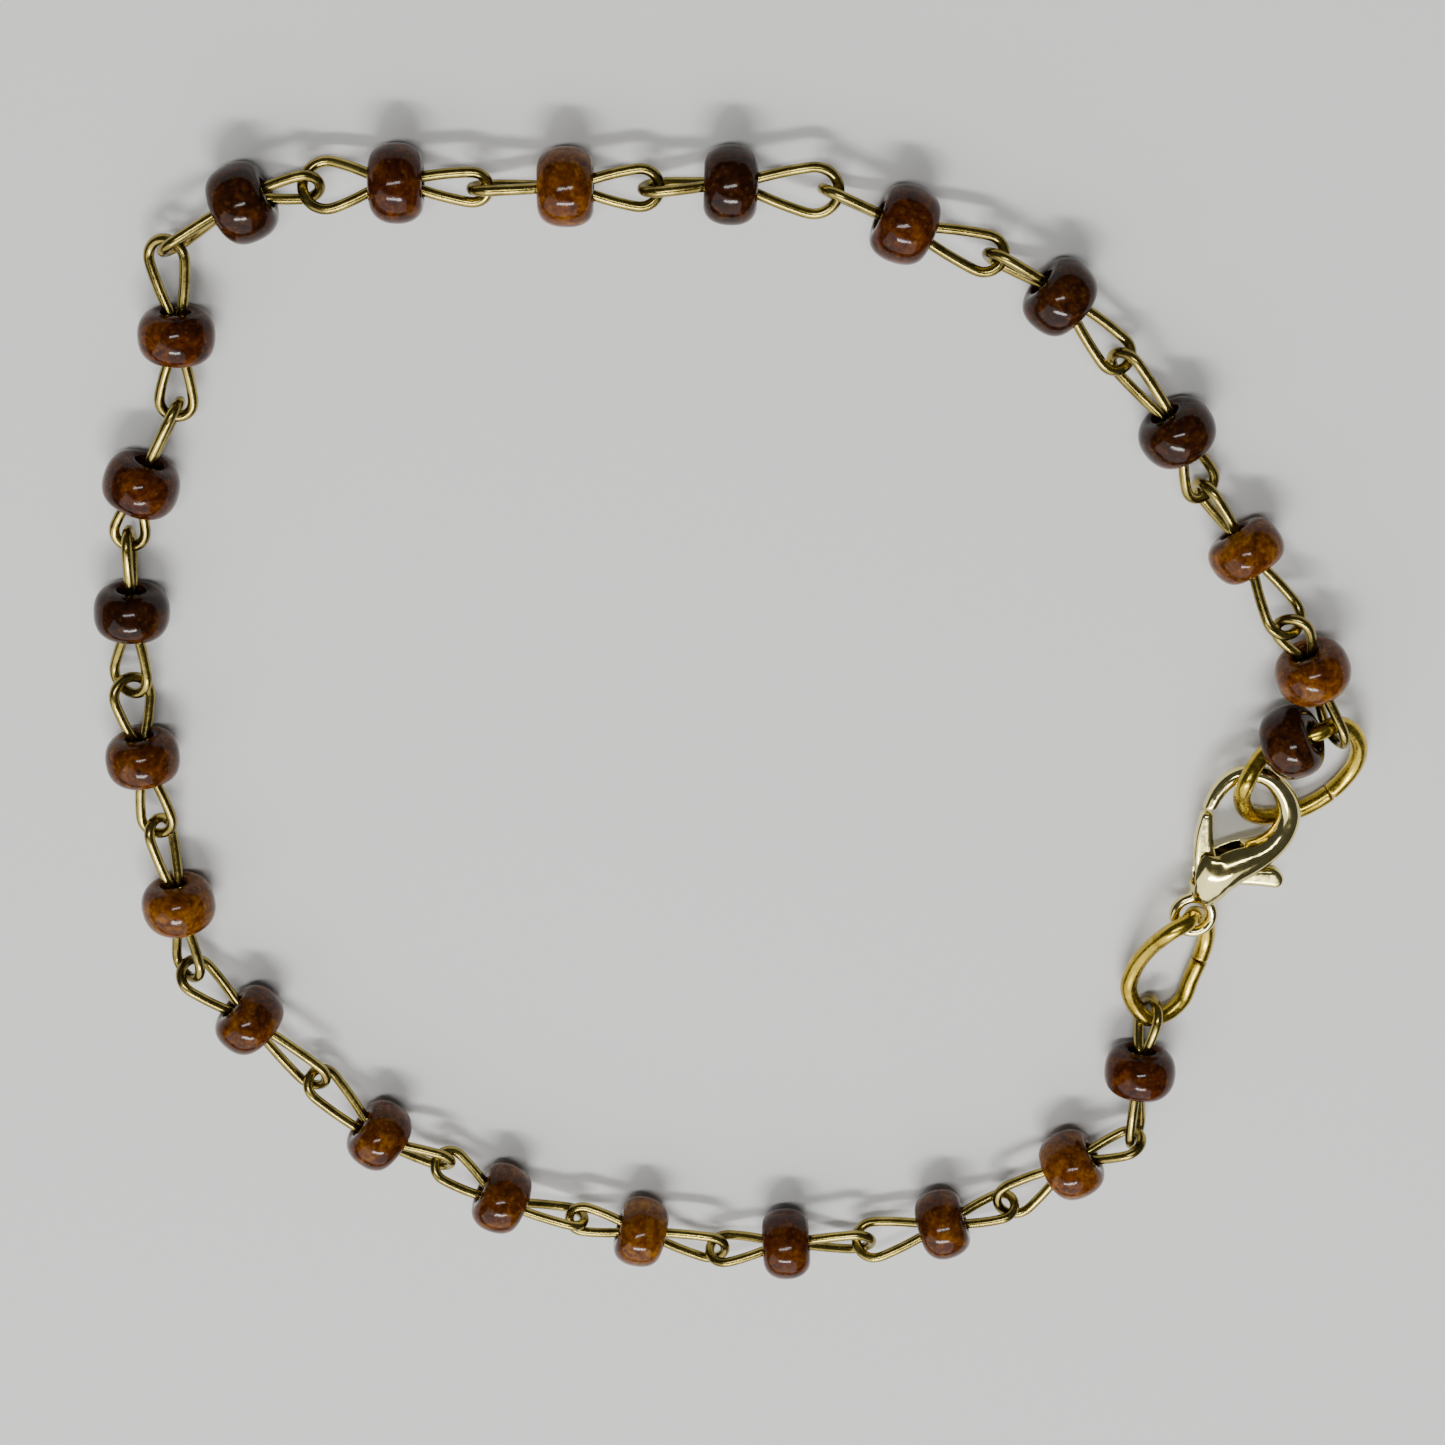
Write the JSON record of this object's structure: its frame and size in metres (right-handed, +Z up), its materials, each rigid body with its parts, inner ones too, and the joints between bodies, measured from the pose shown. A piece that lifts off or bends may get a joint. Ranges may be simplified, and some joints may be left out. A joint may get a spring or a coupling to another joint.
{
  "type": "beaded wire bracelet",
  "caption": "Closed bracelet of drilled mottled glass beads on interlocked wire links, joined by jump rings and a lobster clasp with a sprung lever.",
  "frame": {"origin": "middle of the bracelet's box, on the table that the beads lie on", "axes": "+X to the clasp side, +Y to the straight row of beads at the top of the picture, +Z up"},
  "size_m": [0.0668, 0.065, 0.0044],
  "materials": {
    "bead_glass": "mottled red-brown to amber pressed glass, glossy",
    "link_wire": "antique brass wire, drawn and bent",
    "ring_wire": "yellow gold plated brass wire",
    "clasp_metal": "pale gold plated casting, polished"
  },
  "bodies": {
    "bracelet": {"bead_01": "bead_glass", "bead_02": "bead_glass", "bead_03": "bead_glass", "bead_04": "bead_glass", "bead_05": "bead_glass", "bead_06": "bead_glass", "bead_07": "bead_glass", "bead_08": "bead_glass", "bead_09": "bead_glass", "bead_10": "bead_glass", "bead_11": "bead_glass", "bead_12": "bead_glass", "bead_13": "bead_glass", "bead_14": "bead_glass", "bead_15": "bead_glass", "bead_16": "bead_glass", "bead_17": "bead_glass", "bead_18": "bead_glass", "bead_19": "bead_glass", "bead_20": "bead_glass", "bead_21": "bead_glass", "bead_22": "bead_glass", "bead_23": "bead_glass", "link_02": "link_wire", "link_03": "link_wire", "link_04": "link_wire", "link_05": "link_wire", "link_06": "link_wire", "link_07": "link_wire", "link_08": "link_wire", "link_09": "link_wire", "link_10": "link_wire", "link_11": "link_wire", "link_12": "link_wire", "link_13": "link_wire", "link_14": "link_wire", "link_15": "link_wire", "link_16": "link_wire", "link_17": "link_wire", "link_18": "link_wire", "link_19": "link_wire", "link_20": "link_wire", "link_21": "link_wire", "link_22": "link_wire", "link_23": "link_wire", "ring_upper": "ring_wire", "ring_lower": "ring_wire", "clasp_body": "clasp_metal"},
    "lever": {"clasp_lever": "clasp_metal"}
  },
  "joints": [
    {"name": "clasp_lever_hinge", "type": "hinge", "parent": "bracelet", "child": "lever", "pos_m": [0.02535, -0.00721, 0.0019], "axis": [0, 0, -1], "range_deg": [0, 22], "stiffness_Nm_per_rad": 0.005, "springref_deg": -20.05}
  ]
}
